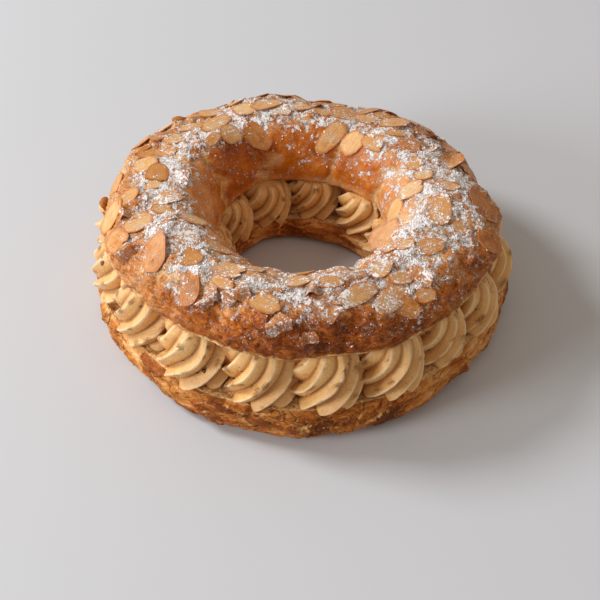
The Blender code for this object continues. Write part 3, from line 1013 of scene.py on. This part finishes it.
# ------------------------------------------------------------ sliced almonds
# direction round the ring and distance from its axis, length, width, heading
# (0 points outwards, 90 along the ring), tilt, how brown, how sugared, shape
FLAKES = (
    (132, 82, 10.7, 7.7, -20, 5, 0.55, 0.20, "fold"),
    (129, 67, 21.5, 10.3, -71, 8, 0.22, 0.25, "flat"),
    (128, 56, 12.5, 11.8, 4, 5, 0.35, 0.30, "flat"),
    (116, 54, 21.5, 12.0, 36, 10, 0.58, 0.03, "flat"),
    (115, 70, 14.2, 12.0, -88, 10, 0.12, 0.40, "flat"),
    (166, 77, 15.6, 12.0, -62, 8, 0.22, 0.25, "flat"),
    (158, 80, 10.9, 9.5, 50, 20, 0.50, 0.10, "flat"),
    (157, 84, 11.3, 7.1, 61, 35, 0.40, 0.20, "flat"),
    (172, 69, 16.8, 10.8, -86, 6, 0.48, 0.03, "flat"),
    (172, 90, 15.0, 8.5, 75, 10, 0.40, 0.05, "flat"),
    (179, 94, 7.0, 6.9, -22, 45, 0.55, 0.00, "curl"),
    (188, 89, 20.1, 12.0, 60, 6, 0.22, 0.06, "flat"),
    (192, 82, 10.0, 8.0, -3, 5, 0.60, 0.15, "fold"),
    (198, 78, 14.8, 12.0, 15, 6, 0.28, 0.35, "flat"),
    (171, 58, 10.5, 8.0, 89, 5, 0.70, 0.60, "fold"),
    (176, 56, 10.4, 4.7, 63, 30, 0.72, 0.60, "curl"),
    (147, 73, 14.0, 11.4, 66, 6, 0.30, 0.65, "flat"),
    (137, 75, 13.2, 10.5, 51, 8, 0.35, 0.50, "flat"),
    (194, 65, 11.1, 8.9, 8, 10, 0.25, 0.50, "flat"),
    (207, 54, 13.5, 12.0, 58, 5, 0.12, 0.60, "flat"),
    (187, 62, 17.1, 9.7, 30, 6, 0.30, 0.75, "flat"),
    (216, 79, 19.6, 11.4, 37, 14, 0.56, 0.04, "flat"),
    (226, 70, 12.0, 10.0, -57, 10, 0.50, 0.05, "flat"),
    (209, 88, 12.5, 8.4, 70, 5, 0.72, 0.10, "fold"),
    (201, 89, 17.1, 12.0, -73, 3, 0.45, 0.15, "flat"),
    (234, 81, 18.2, 8.2, 31, 14, 0.62, 0.30, "flat"),
    (241, 82, 15.0, 10.5, 62, 8, 0.68, 0.30, "fold"),
    (249, 77, 16.0, 11.5, 35, 8, 0.66, 0.45, "fold"),
    (241, 65, 19.6, 10.3, -89, 8, 0.30, 0.75, "flat"),
    (228, 56, 13.0, 5.2, -62, 10, 0.40, 0.50, "flat"),
    (218, 64, 11.8, 9.5, -19, 10, 0.45, 0.75, "flat"),
    (258, 78, 17.2, 9.9, 64, 10, 0.35, 0.30, "torn"),
    (271, 53, 10.5, 5.6, 85, 15, 0.35, 0.55, "flat"),
    (269, 62, 14.4, 10.1, -66, 8, 0.20, 0.40, "flat"),
    (275, 69, 12.0, 9.5, 60, 8, 0.72, 0.45, "fold"),
    (289, 74, 21.5, 9.4, -69, 7, 0.28, 0.72, "flat"),
    (298, 81, 21.5, 10.2, -70, 7, 0.40, 0.68, "flat"),
    (263, 86, 16.5, 11.0, 28, 8, 0.70, 0.40, "fold"),
    (277, 83, 17.5, 12.5, -20, 8, 0.66, 0.40, "fold"),
    (272, 90, 11.5, 8.0, 10, 8, 0.75, 0.20, "fold"),
    (304, 63, 14.8, 9.3, -49, 8, 0.30, 0.78, "flat"),
    (318, 55, 14.5, 7.5, 70, 8, 0.35, 0.70, "flat"),
    (307, 73, 12.3, 8.7, 79, 12, 0.35, 0.50, "flat"),
    (312, 78, 16.0, 10.0, -69, 8, 0.66, 0.40, "fold"),
    (326, 70, 13.8, 9.0, 52, 10, 0.50, 0.45, "flat"),
    (342, 91, 13.8, 9.3, -50, 30, 0.70, 0.06, "flat"),
    (348, 66, 21.5, 9.6, -85, 8, 0.42, 0.60, "flat"),
    (357, 84, 21.5, 11.9, -68, 22, 0.60, 0.06, "flat"),
    (21, 78, 18.0, 11.0, 26, 12, 0.46, 0.20, "cup"),
    (39, 81, 17.0, 10.5, 5, 16, 0.50, 0.20, "cup"),
    (51, 74, 16.8, 11.1, -35, 18, 0.30, 0.35, "flat"),
    (58, 79, 8.4, 8.2, 79, 25, 0.40, 0.10, "flat"),
    (17, 86, 15.8, 12.0, 45, 10, 0.55, 0.10, "flat"),
    (354, 90, 11.3, 9.3, -59, 25, 0.50, 0.10, "curl"),
    (7, 54, 15.4, 12.0, -2, 6, 0.10, 0.50, "flat"),
    (48, 56, 15.7, 9.9, -73, 7, 0.35, 0.60, "flat"),
    (60, 52, 14.5, 10.9, -21, 6, 0.18, 0.10, "flat"),
    (73, 51, 21.5, 9.6, -19, 7, 0.30, 0.40, "flat"),
    (77, 82, 21.5, 12.0, -82, 14, 0.50, 0.25, "flat"),
    (71, 69, 16.1, 11.3, -62, 10, 0.35, 0.45, "flat"),
    (90, 69, 11.1, 10.6, 30, 8, 0.20, 0.60, "flat"),
    (99, 64, 11.5, 9.8, 1, 6, 0.25, 0.80, "flat"),
    (104, 71, 17.8, 10.3, -79, 12, 0.28, 0.25, "flat"),
    (125, 80, 12.4, 9.8, 58, 12, 0.30, 0.40, "flat"),
    (61, 71, 13.6, 11.0, 80, 10, 0.40, 0.65, "flat"),
    (2, 45, 18.0, 11.5, 8, 4, 0.10, 0.25, "flat"),
    (23, 60, 10.1, 7.9, 7, 10, 0.40, 0.70, "flat"),
    (14, 61, 9.1, 8.8, 55, 8, 0.20, 0.50, "flat"),
    (139, 57, 10.9, 5.9, -76, 12, 0.40, 0.50, "flat"),
    (178, 70, 9.6, 6.5, -9, 12, 0.20, 0.40, "flat"),
    (248, 58, 11.4, 10.1, 89, 10, 0.35, 0.60, "flat"),
    (281, 66, 11.3, 6.6, 88, 8, 0.40, 0.65, "flat"),
    (321, 60, 9.8, 7.5, 49, 8, 0.30, 0.60, "flat"),
    (341, 77, 9.0, 6.1, -40, 12, 0.45, 0.50, "flat"),
    (4, 70, 12.2, 8.0, -64, 10, 0.40, 0.55, "flat"),
    (270, 80, 8.0, 4.5, -21, 25, 0.35, 0.35, "curl"),
    (302, 85, 13.5, 9.0, 35, 8, 0.60, 0.40, "torn"),
    (309, 86, 10.4, 5.6, 75, 10, 0.40, 0.40, "flat"),
    (183, 80, 12.7, 9.1, 55, 8, 0.30, 0.30, "flat"),
    (242, 73, 12.5, 5.8, 76, 10, 0.40, 0.30, "flat"),
)


# slices that lean out over the hole, held by the crust at one end: middle,
# the way the length runs, the way the face looks, length, width, how brown,
# how sugared
LEANING = (
    ((39.8, -11.4, 46.3), (0.72, 0.37, 0.59), (-0.45, -0.40, 0.80),
     20.5, 10.5, 0.36, 0.12),
)


def lid_spot(degrees, radius):
    """Row and column of the lid's upper side at a place seen from above."""
    column = int(round(degrees / 360 * lid_points.shape[1])) % lid_points.shape[1]
    p = lid_points[:, column]
    score = np.abs(np.hypot(p[:, 0], p[:, 1]) - radius) - 0.08 * p[:, 2]
    score = score + 40 * (lid_under_share[:, column] > 0.3)
    return int(np.argmin(score)), column


def lid_patch(row, column, down, across):
    rows = (row + np.arange(-down, down + 1)) % lid_points.shape[0]
    columns = (column + np.arange(-across, across + 1)) % lid_points.shape[1]
    at = np.ix_(rows, columns)
    good = lid_under_share[at] < 0.3
    return lid_points[at][good], lid_normals[at][good]


def flake_shape(length, width, kind, picker):
    """Upper side, lower side and rim share of one slice, lying level."""
    around, rings = 40, 7
    way = np.arange(around) * TAU / around
    point = picker.uniform(0.02, 0.22) * picker.choice((-1, 1))
    x = np.sign(np.cos(way)) * np.abs(np.cos(way)) ** 0.92
    y = np.sign(np.sin(way)) * np.abs(np.sin(way)) ** 0.88
    y = y * (1 + point * x)
    rough = 0.055 if kind == "torn" else 0.028
    edge = 1 + sum(picker.normal(0, rough / k ** 0.35)
                   * np.sin(k * way + picker.uniform(0, TAU))
                   for k in (2, 3, 5, 7, 9, 13))
    x, y = x * edge, y * edge
    if kind != "flat" or picker.random() < 0.45:
        cut = picker.uniform(0.45, 0.92) * picker.choice((-1, 1))
        jag = 0.06 * np.sin(9 * y + picker.uniform(0, TAU)) \
            + 0.04 * np.sin(23 * y + picker.uniform(0, TAU))
        stop = abs(cut) + jag
        x = np.where(x * np.sign(cut) > stop, stop * np.sign(cut), x)
    share = np.concatenate([[0.0], np.linspace(0.22, 1.0, rings)])
    px = np.concatenate([[0.0], np.outer(share[1:], x).ravel()]) * length / 2
    py = np.concatenate([[0.0], np.outer(share[1:], y).ravel()]) * width / 2
    rim = np.concatenate([[0.0], np.repeat(share[1:], around)])
    flat = np.stack([px, py, 0 * px], 1)
    at = flat + picker.uniform(-99, 99, 3)
    pz = 0.06 * noise(at, 5.0, 90)
    if kind == "fold":
        # bent over a blunt ridge across its length
        ridge = picker.uniform(-0.15, 0.15) * length
        steep = math.tan(math.radians(picker.uniform(38, 52)))
        fall = np.sqrt((px - ridge) ** 2 + 0.5) - 0.7
        pz = pz - steep * fall + 1.5 * noise(at, 5.5, 92) * (0.3 + rim)
        py = py * (1 - 0.45 * np.clip(fall / length * 2.2, 0, 1)
                   * picker.choice((-1, 1)) * np.sign(px - ridge))
        px = ridge + (px - ridge) * 0.80
    if kind in ("curl", "cup"):
        pz = pz + 0.9 * noise(at, 6.5, 92) * rim
        # rolled up along its length or its width
        total = picker.uniform(2.0, 3.1) if kind == "curl" \
            else picker.uniform(1.6, 2.2)
        if kind == "curl":
            roll = length / total
            pz, px = pz + roll * (1 - np.cos(px / roll)), roll * np.sin(px / roll)
        else:
            roll = width / total
            pz, py = pz + roll * (1 - np.cos(py / roll)), roll * np.sin(py / roll)
    along, across = px / length * 2, py / width * 2
    vein = np.exp(-(across / 0.10) ** 2) * (np.abs(along) < 0.42) \
        * (picker.random() < 0.5)
    return np.stack([px, py, pz], 1), rim, vein, around, rings


def flake_faces(around, rings, start, count):
    upper, lower = start, start + count
    quads, fans = [], []
    for side, turn in ((upper, False), (lower, True)):
        first = side + 1 + np.arange(around)
        fan = np.stack([np.full(around, side), first, np.roll(first, -1)], 1)
        fans.append(fan[:, ::-1] if turn else fan)
        rows = grid_faces(rings, around, start=side + 1)
        quads.append(rows if turn else rows[:, ::-1])
    top = upper + 1 + (rings - 1) * around + np.arange(around)
    low = lower + 1 + (rings - 1) * around + np.arange(around)
    quads.append(np.stack([top, low, np.roll(low, -1), np.roll(top, -1)], 1))
    return quads, fans


def more_flakes():
    """Flakes for the sides of the lid that the main group leaves bare."""
    picker = np.random.default_rng(77)
    taken = [(math.radians(f[0]), f[1], f[2]) for f in FLAKES]
    found = []
    for _ in range(2600):
        degrees = picker.uniform(0, 360)
        radius = picker.choice((picker.uniform(74, 92), picker.uniform(50, 76)),
                               p=(0.72, 0.28))
        if not (25 < degrees < 158 and radius > 66):
            continue
        a = math.radians(degrees)
        length = picker.uniform(11, 18)
        near = min(math.hypot(radius * math.cos(a) - r * math.cos(b),
                              radius * math.sin(a) - r * math.sin(b))
                   - 0.32 * size for b, r, size in taken)
        if near < 0.32 * length + 0.6:
            continue
        taken.append((a, radius, length))
        tilt = abs(picker.normal(6, 9))
        kind = picker.choice(("flat", "torn", "curl", "cup"),
                             p=(0.66, 0.24, 0.06, 0.04))
        found.append((degrees, radius, length, length * picker.uniform(0.5, 0.72),
                      picker.uniform(-90, 90), tilt, picker.uniform(0.15, 0.65),
                      np.clip(picker.normal(0.4, 0.22), 0.02, 0.75), kind))
        if len(found) > 62:
            break
    return found


def laid_flakes():
    """Each slice that lies on the crust: its shape, place, face and looks."""
    for n, (degrees, radius, length, width, heading, tilt, tone, sugared,
            kind) in enumerate(list(FLAKES) + more_flakes()):
        picker = np.random.default_rng(4000 + n)
        row, column = lid_spot(degrees, radius)
        near, near_n = lid_patch(row, column, 14, 26)
        close = lid_patch(row, column, 6, 12)[1]
        up = close.mean(0)
        up /= np.linalg.norm(up)
        a = math.radians(degrees)
        out = np.array([math.cos(a), math.sin(a), 0.0])
        out = out - up * (out @ up)
        out /= np.linalg.norm(out)
        side = np.cross(up, out)
        h = math.radians(heading)
        ex = math.cos(h) * out + math.sin(h) * side
        ey = np.cross(up, ex)
        # tilt about the long or the short way
        lean = math.radians(tilt) * picker.choice((-1, 1))
        if kind in ("curl", "cup", "fold") or picker.random() < 0.3:
            ex, ez = (math.cos(lean) * ex + math.sin(lean) * up,
                      math.cos(lean) * up - math.sin(lean) * ex)
        else:
            ey, ez = (math.cos(lean) * ey + math.sin(lean) * up,
                      math.cos(lean) * up - math.sin(lean) * ey)
        shape = flake_shape(length, width, kind, picker)
        flat = shape[0]
        place = flat @ np.stack([ex, ey, ez]) + lid_points[row, column]

        def gap_of(place):
            apart = ((place[:, None] - near[None]) ** 2).sum(-1)
            best = apart.argmin(1)
            return ((place - near[best]) * near_n[best]).sum(1)

        u, v = 2 * flat[:, 0] / length, 2 * flat[:, 1] / width
        if kind in ("flat", "torn"):
            # bend with the crust as a whole, then keep a part of its own tilt
            terms = np.stack([1 + 0 * u, u, v, u * u, u * v, v * v], 1)
            for again in range(2):
                fit = np.linalg.lstsq(terms, gap_of(place), rcond=None)[0]
                fit[3:] *= 0.22
                place = place - ez * (terms @ fit)[:, None]
            own = math.sin(math.radians(min(tilt, 24))) * 0.45
            place = place + ez * (own * (0.5 * length * u * math.cos(n)
                                         + 0.5 * width * v * math.sin(n)))[:, None]
            place = place - ez * (np.percentile(gap_of(place), 10) + 0.05)
            place = place + ez * np.clip(-0.22 - gap_of(place), 0, 3)[:, None]
        else:
            sunk = {"fold": 12, "cup": 14}.get(kind, 24)
            place = place - ez * (np.percentile(gap_of(place), sunk) + 0.2)
            sugared = sugared + 0.25
        yield shape, place, ez, tone, sugared, picker


def leaning_flakes():
    for n, (middle, ex, ez, length, width, tone, sugared) in enumerate(LEANING):
        picker = np.random.default_rng(4500 + n)
        shape = flake_shape(length, width, "torn", picker)
        ex, ez = np.array(ex), np.array(ez)
        ez /= np.linalg.norm(ez)
        ex = ex - ez * (ex @ ez)
        ex /= np.linalg.norm(ex)
        axes = np.stack([ex, np.cross(ez, ex), ez])
        yield (shape, shape[0] @ axes + np.array(middle), ez, tone, sugared,
               picker)


def make_flakes():
    points, faces, fans = [], [], []
    layers = {"rim": [], "tone": [], "sugar": [], "vein": [], "grain_x": [],
              "grain_y": []}
    start = 0
    every = list(laid_flakes()) + list(leaning_flakes())
    for n, (shape, place, ez, tone, sugared, picker) in enumerate(every):
        flat, rim, vein, around, rings = shape
        thick = picker.uniform(0.45, 0.62) * (1 - 0.15 * rim ** 6)
        upper = place + ez * (thick / 2)[:, None]
        lower = place - ez * (thick / 2)[:, None]
        count = len(upper)
        points += [upper, lower]
        quads, fan = flake_faces(around, rings, start, count)
        faces += quads
        fans += fan
        start += 2 * count
        facing = np.clip(ez[2], 0, 1)
        layers["rim"] += [rim, rim]
        layers["tone"].append(np.full(2 * count, tone))
        layers["vein"] += [vein, 0 * vein]
        for key, k in (("grain_x", 0), ("grain_y", 1)):
            across = (flat[:, k] + 31.7 * (n % 97)) * MM
            layers[key] += [across, across + 0.011]
        cover = (0.12 + 0.44 * sugared) * (0.4 + 0.6 * facing)
        field = 0.34 * noise(upper, 5.4, 96) + 0.26 * noise(upper, 2.5, 97)
        layers["sugar"] += [cover - 0.01 + field * (0.45 + 0.45 * sugared),
                            0 * rim - 1]
    obj = make_mesh("almond_flakes", np.concatenate(points),
                    [np.concatenate(faces), np.concatenate(fans)],
                    {k: np.concatenate(v) for k, v in layers.items()},
                    almond_finish(), sharp=38)
    return obj, np.concatenate(points), layers


# ------------------------------------------------------------ icing sugar
OCTA = np.array([(1, 0, 0), (-1, 0, 0), (0, 1, 0), (0, -1, 0), (0, 0, 1),
                 (0, 0, -1)], float)
OCTA_FACES = np.array([(0, 2, 4), (2, 1, 4), (1, 3, 4), (3, 0, 4),
                       (2, 0, 5), (1, 2, 5), (3, 1, 5), (0, 3, 5)])


def lumps(centres, normals, sizes, squash, picker, shape, faces):
    """Small irregular grains of one kind as one set of points and faces."""
    count, corners = len(centres), len(shape)
    turn = picker.normal(size=(count, 3, 3))
    turn, _ = np.linalg.qr(turn)
    body = shape[None] * picker.uniform(0.7, 1.3, (count, corners, 1))
    body = body * picker.uniform(0.65, 1.35, (count, 1, 3))
    body = np.einsum("nij,njk->nik", body, turn) * sizes[:, None, None]
    rise = np.einsum("nij,nj->ni", body, normals)
    body = body - normals[:, None, :] * (rise * (1 - squash))[..., None]
    points = centres[:, None, :] + body
    index = faces[None] + (np.arange(count) * corners)[:, None, None]
    return points.reshape(-1, 3), index.reshape(-1, 3)


def make_sugar(count=21500):
    picker = np.random.default_rng(515)
    shown = lid_points.reshape(-1, 3)
    n = lid_normals.reshape(-1, 3)
    across = np.linalg.norm(np.roll(lid_points, -1, 1) - lid_points, axis=-1)
    down = np.linalg.norm(np.roll(lid_points, -1, 0) - lid_points, axis=-1)
    weight = ((0.03 + ease(lid_sugar.ravel(), 0.30, 0.72))
              * (lid_sugar.ravel() > 0.06) * (across * down).ravel()
              * (lid_under_share.ravel() < 0.2))
    weight /= weight.sum()
    seat = picker.choice(len(shown), count, p=weight)
    centres = shown[seat] + picker.normal(0, 0.34, (count, 3))
    centres -= n[seat] * ((centres - shown[seat]) * n[seat]).sum(1)[:, None]
    sizes = np.clip(picker.lognormal(math.log(0.25), 0.42, count), 0.13, 0.66)
    centres += n[seat] * (0.12 * sizes)[:, None]
    points, faces = lumps(centres, n[seat], sizes, 0.62, picker, OCTA, OCTA_FACES)
    obj = make_mesh("icing_sugar_grains", points, faces, {}, sugar_finish())
    return obj


# ------------------------------------------------------------ nut pieces
def make_nuts():
    picker = np.random.default_rng(626)
    chunk, chunk_faces = OCTA, OCTA_FACES
    # one finer step of the eight-sided form, pushed out to a rough ball
    points, faces, seen = list(chunk), [], {}
    for a, b, c in chunk_faces:
        middle = []
        for i, j in ((a, b), (b, c), (c, a)):
            key = (min(i, j), max(i, j))
            if key not in seen:
                m = (chunk[i] + chunk[j]) / 2
                points.append(m / np.linalg.norm(m))
                seen[key] = len(points) - 1
            middle.append(seen[key])
        ab, bc, ca = middle
        faces += [(a, ab, ca), (ab, b, bc), (ca, bc, c), (ab, bc, ca)]
    chunk, chunk_faces = np.array(points), np.array(faces)
    centres, normals, sizes = [], [], []
    for spots, share in ((outer_spots, 20), (inner_spots, 11)):
        for p, edge, hh, angle, axis_r in spots:
            n = normals_of(p, wrap_rows=False)
            axis = np.array([axis_r * math.cos(angle),
                             axis_r * math.sin(angle), 0.0])
            away = p - axis
            n = np.where(((n * away).sum(-1) < 0)[..., None], -n, n)
            shown = (hh > 0.1) & (hh < 0.86)
            weight = np.where(shown, 0.06 + ease(-edge, -0.45, -0.1), 0.0)
            weight = (weight * ease(noise(p, 8, 98), -0.1, 0.5)).ravel()
            if weight.sum() <= 0:
                continue
            seat = picker.choice(weight.size, share, p=weight / weight.sum())
            centres.append(p.reshape(-1, 3)[seat])
            normals.append(n.reshape(-1, 3)[seat])
            sizes.append(np.clip(picker.lognormal(math.log(0.5), 0.6, share),
                                 0.25, 1.6))
    centres, normals = np.concatenate(centres), np.concatenate(normals)
    sizes = np.concatenate(sizes)
    points, faces = lumps(centres, normals, sizes, 0.7, picker, chunk,
                          chunk_faces)
    tone = np.repeat(picker.uniform(0.35, 1.0, len(centres)), len(chunk))
    obj = make_mesh("nut_specks", points, faces, {"tone": tone}, nut_finish())
    return obj


# ------------------------------------------------------------ build
lid, lid_points, lid_normals, lid_sugar, lid_under_share = make_lid()
base = make_base()
cream = cream_finish()
outer_row, outer_spots = piped_row("praline_cream_outer", OUTER_AT,
                                   OUTER_ROSETTE_R, "outer", 162, 33, 0.30,
                                   cream)
inner_row, inner_spots = piped_row("praline_cream_inner", INNER_AT,
                                   INNER_ROSETTE_R, "inner", 144, 32, 0.30,
                                   cream)
bed = make_bed(cream)
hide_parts("praline_cream")
almonds, almond_points, almond_layers = make_flakes()
sugar_grains = make_sugar()
nuts = make_nuts()

# ------------------------------------------------------------ stage
def make_stage():
    mesh = bpy.data.meshes.new("floor")
    mesh.from_pydata([(-4, -4, 0), (4, -4, 0), (4, 4, 0), (-4, 4, 0)], [],
                     [(0, 1, 2, 3)])
    floor = bpy.data.objects.new("floor", mesh)
    look = Finish("floor_look")
    look.set(Base_Color=paint(202, 202, 205), Roughness=0.55,
             Specular_IOR_Level=0.3)
    mesh.materials.append(look.material)
    bpy.context.scene.collection.objects.link(floor)

    world = bpy.data.worlds.new("soft_room")
    world.use_nodes = True
    back = world.node_tree.nodes["Background"]
    back.inputs["Color"].default_value = (1.0, 0.90, 0.78, 1.0)
    back.inputs["Strength"].default_value = 0.42
    bpy.context.scene.world = world

    def lamp(name, at, toward, size, power, colour):
        data = bpy.data.lights.new(name, "AREA")
        data.shape, data.size, data.energy = "DISK", size, power
        data.color = colour
        obj = bpy.data.objects.new(name, data)
        obj.location = at
        obj.rotation_euler = (Vector(toward) - Vector(at)).to_track_quat(
            "-Z", "Y").to_euler()
        bpy.context.scene.collection.objects.link(obj)

    lamp("window", (-1.75, 0.55, 1.50), (0, 0, 0.03), 0.70, 42.0,
         (0.92, 0.96, 1.0))
    lamp("fill", (-1.80, -0.80, 0.80), (0, 0, 0.03), 0.8, 27.0,
         (0.90, 0.95, 1.0))


def make_camera():
    target = Vector(((-0.4 + SHIFT[0]) * MM, (-10.5 + SHIFT[1]) * MM, 0.0))
    lift = math.radians(47)
    back = Vector((0, -math.cos(lift), math.sin(lift)))
    data = bpy.data.cameras.new("camera")
    data.sensor_width, data.lens = 36.0, 71.5
    data.clip_start, data.clip_end = 0.01, 20
    camera = bpy.data.objects.new("camera", data)
    camera.location = target + back * 0.600
    camera.rotation_euler = (-back).to_track_quat("-Z", "Y").to_euler()
    bpy.context.scene.collection.objects.link(camera)
    bpy.context.scene.camera = camera


make_stage()
make_camera()
bpy.context.scene.view_settings.view_transform = "Standard"
